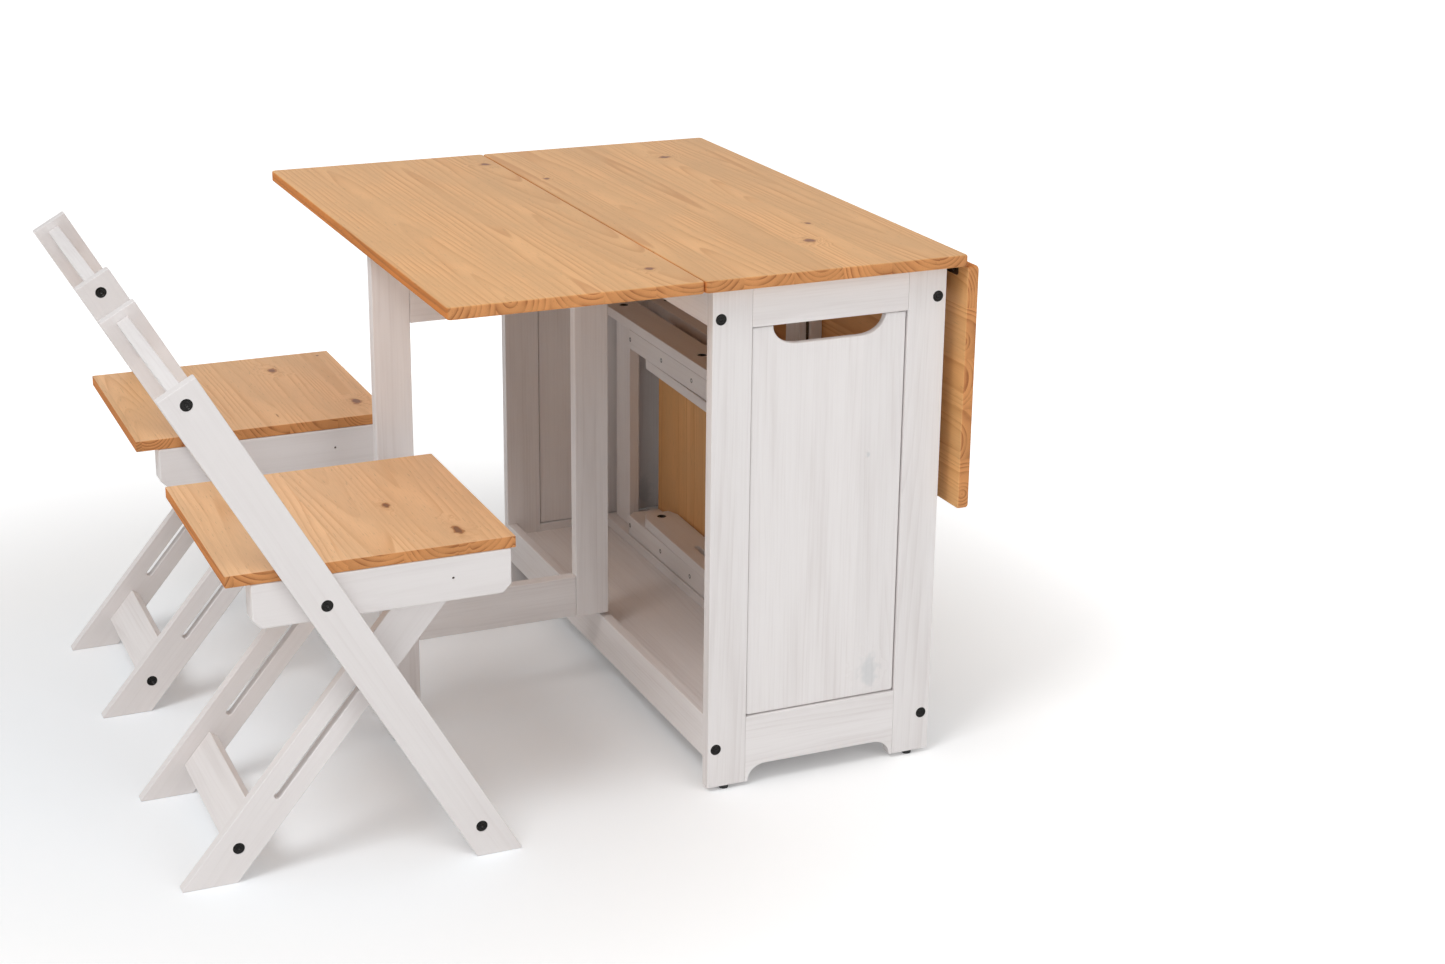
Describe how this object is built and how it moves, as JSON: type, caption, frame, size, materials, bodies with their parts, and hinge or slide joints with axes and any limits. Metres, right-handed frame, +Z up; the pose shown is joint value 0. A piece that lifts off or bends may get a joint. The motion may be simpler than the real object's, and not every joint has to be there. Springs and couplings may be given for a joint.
{
  "type": "folding dining set",
  "caption": "Gateleg dining table with two drop leaves on panelled ends, two folding chairs at its raised leaf and folded chairs stored inside.",
  "frame": {"origin": "the middle of the whole set's footprint on the floor, with the left leaf raised, the right one hanging and the open chairs drawn up", "axes": "+X across the table from the open chairs to the hanging leaf, +Y along the leaves' hinge lines, away from the picture's near end, +Z up"},
  "size_m": [1.1492, 0.976, 0.76],
  "materials": {
    "white_pine": "pine with a thin white paint, satin",
    "oiled_pine": "pine with a honey oil, satin",
    "dark_bronze": "steel with a dark bronze finish"
  },
  "bodies": {
    "table": {"centre_top": "oiled_pine", "left_leaf_near_hinge": "dark_bronze", "left_leaf_far_hinge": "dark_bronze", "right_leaf_near_hinge": "dark_bronze", "right_leaf_far_hinge": "dark_bronze", "near_end_left_stile": "white_pine", "near_end_right_stile": "white_pine", "near_end_top_rail": "white_pine", "near_end_bottom_rail": "white_pine", "near_end_panel": "white_pine", "far_end_left_stile": "white_pine", "far_end_right_stile": "white_pine", "far_end_top_rail": "white_pine", "far_end_bottom_rail": "white_pine", "far_end_panel": "white_pine", "left_side_top_rail": "white_pine", "left_side_bottom_rail": "white_pine", "right_side_top_rail": "white_pine", "right_side_bottom_rail": "white_pine", "storage_floor": "white_pine", "left_gate_post": "white_pine", "left_gate_hinge": "dark_bronze", "right_gate_post": "white_pine", "right_gate_hinge": "dark_bronze", "right_gate_hinge_stile": "white_pine", "right_gate_leg": "white_pine", "right_gate_top_rail": "white_pine", "right_gate_bottom_rail": "white_pine"},
    "left_leaf": {"left_leaf": "oiled_pine"},
    "right_leaf": {"right_leaf": "oiled_pine"},
    "left_gate": {"left_gate_hinge_stile": "white_pine", "left_gate_leg": "white_pine", "left_gate_top_rail": "white_pine", "left_gate_bottom_rail": "white_pine"},
    "chair_near_frame": {"chair_near_post_left": "white_pine", "chair_near_post_right": "white_pine", "chair_near_crest_slat": "white_pine", "chair_near_front_stretcher": "white_pine"},
    "chair_near_seat": {"chair_near_seat": "oiled_pine", "chair_near_apron_left": "white_pine", "chair_near_apron_right": "white_pine"},
    "chair_near_legs": {"chair_near_rear_leg_left": "white_pine", "chair_near_rear_leg_right": "white_pine", "chair_near_rear_stretcher": "white_pine"},
    "chair_far_frame": {"chair_far_post_left": "white_pine", "chair_far_post_right": "white_pine", "chair_far_crest_slat": "white_pine", "chair_far_front_stretcher": "white_pine"},
    "chair_far_seat": {"chair_far_seat": "oiled_pine", "chair_far_apron_left": "white_pine", "chair_far_apron_right": "white_pine"},
    "chair_far_legs": {"chair_far_rear_leg_left": "white_pine", "chair_far_rear_leg_right": "white_pine", "chair_far_rear_stretcher": "white_pine"},
    "stored_chair_inner": {"stored_chair_inner_frame": "white_pine", "stored_chair_inner_seat": "oiled_pine", "stored_chair_inner_legs": "white_pine"},
    "stored_chair_outer": {"stored_chair_outer_frame": "white_pine", "stored_chair_outer_seat": "oiled_pine", "stored_chair_outer_legs": "white_pine"}
  },
  "joints": [
    {"name": "left_leaf_lift", "type": "hinge", "parent": "table", "child": "left_leaf", "pos_m": [0.15961, 0, 0.743], "axis": [0, 1, 0], "range_deg": [0, 3]},
    {"name": "right_leaf_raise", "type": "hinge", "parent": "table", "child": "right_leaf", "pos_m": [0.55761, 0, 0.743], "axis": [0, -1, 0], "range_deg": [0, 90]},
    {"name": "left_gate_swing", "type": "hinge", "parent": "table", "child": "left_gate", "pos_m": [0.18011, -0.009, 0.4], "axis": [0, 0, -1], "range_deg": [0, 90]},
    {"name": "chair_near_draw", "type": "slide", "parent": "table", "child": "chair_near_frame", "axis": [-1, 0, 0], "range_m": [0, 0.4]},
    {"name": "chair_near_seat_fold", "type": "hinge", "parent": "chair_near_frame", "child": "chair_near_seat", "pos_m": [-0.37539, -0.288, 0.3947], "axis": [0, -1, 0], "range_deg": [0, 119.7]},
    {"name": "chair_near_leg_fold", "type": "hinge", "parent": "chair_near_seat", "child": "chair_near_legs", "pos_m": [-0.20169, -0.288, 0.4004], "axis": [0, -1, 0], "range_deg": [-49.29, 0]},
    {"name": "chair_far_draw", "type": "slide", "parent": "table", "child": "chair_far_frame", "axis": [-1, 0, 0], "range_m": [0, 0.4005]},
    {"name": "chair_far_seat_fold", "type": "hinge", "parent": "chair_far_frame", "child": "chair_far_seat", "pos_m": [-0.37539, 0.288, 0.3947], "axis": [0, -1, 0], "range_deg": [0, 119.7]},
    {"name": "chair_far_leg_fold", "type": "hinge", "parent": "chair_far_seat", "child": "chair_far_legs", "pos_m": [-0.20169, 0.288, 0.4004], "axis": [0, -1, 0], "range_deg": [-49.29, 0]},
    {"name": "stored_chair_inner_lift", "type": "slide", "parent": "table", "child": "stored_chair_inner", "axis": [0, 0, 1], "range_m": [0, 0.15]},
    {"name": "stored_chair_outer_lift", "type": "slide", "parent": "table", "child": "stored_chair_outer", "axis": [0, 0, 1], "range_m": [0, 0.15]}
  ],
  "couplings": [
    {"joint": "chair_far_draw", "follows": "left_gate_swing", "m_per_rad": 0.25465},
    {"joint": "chair_near_leg_fold", "follows": "chair_near_seat_fold", "ratio": -0.41015},
    {"joint": "chair_far_leg_fold", "follows": "chair_far_seat_fold", "ratio": -0.41015}
  ]
}
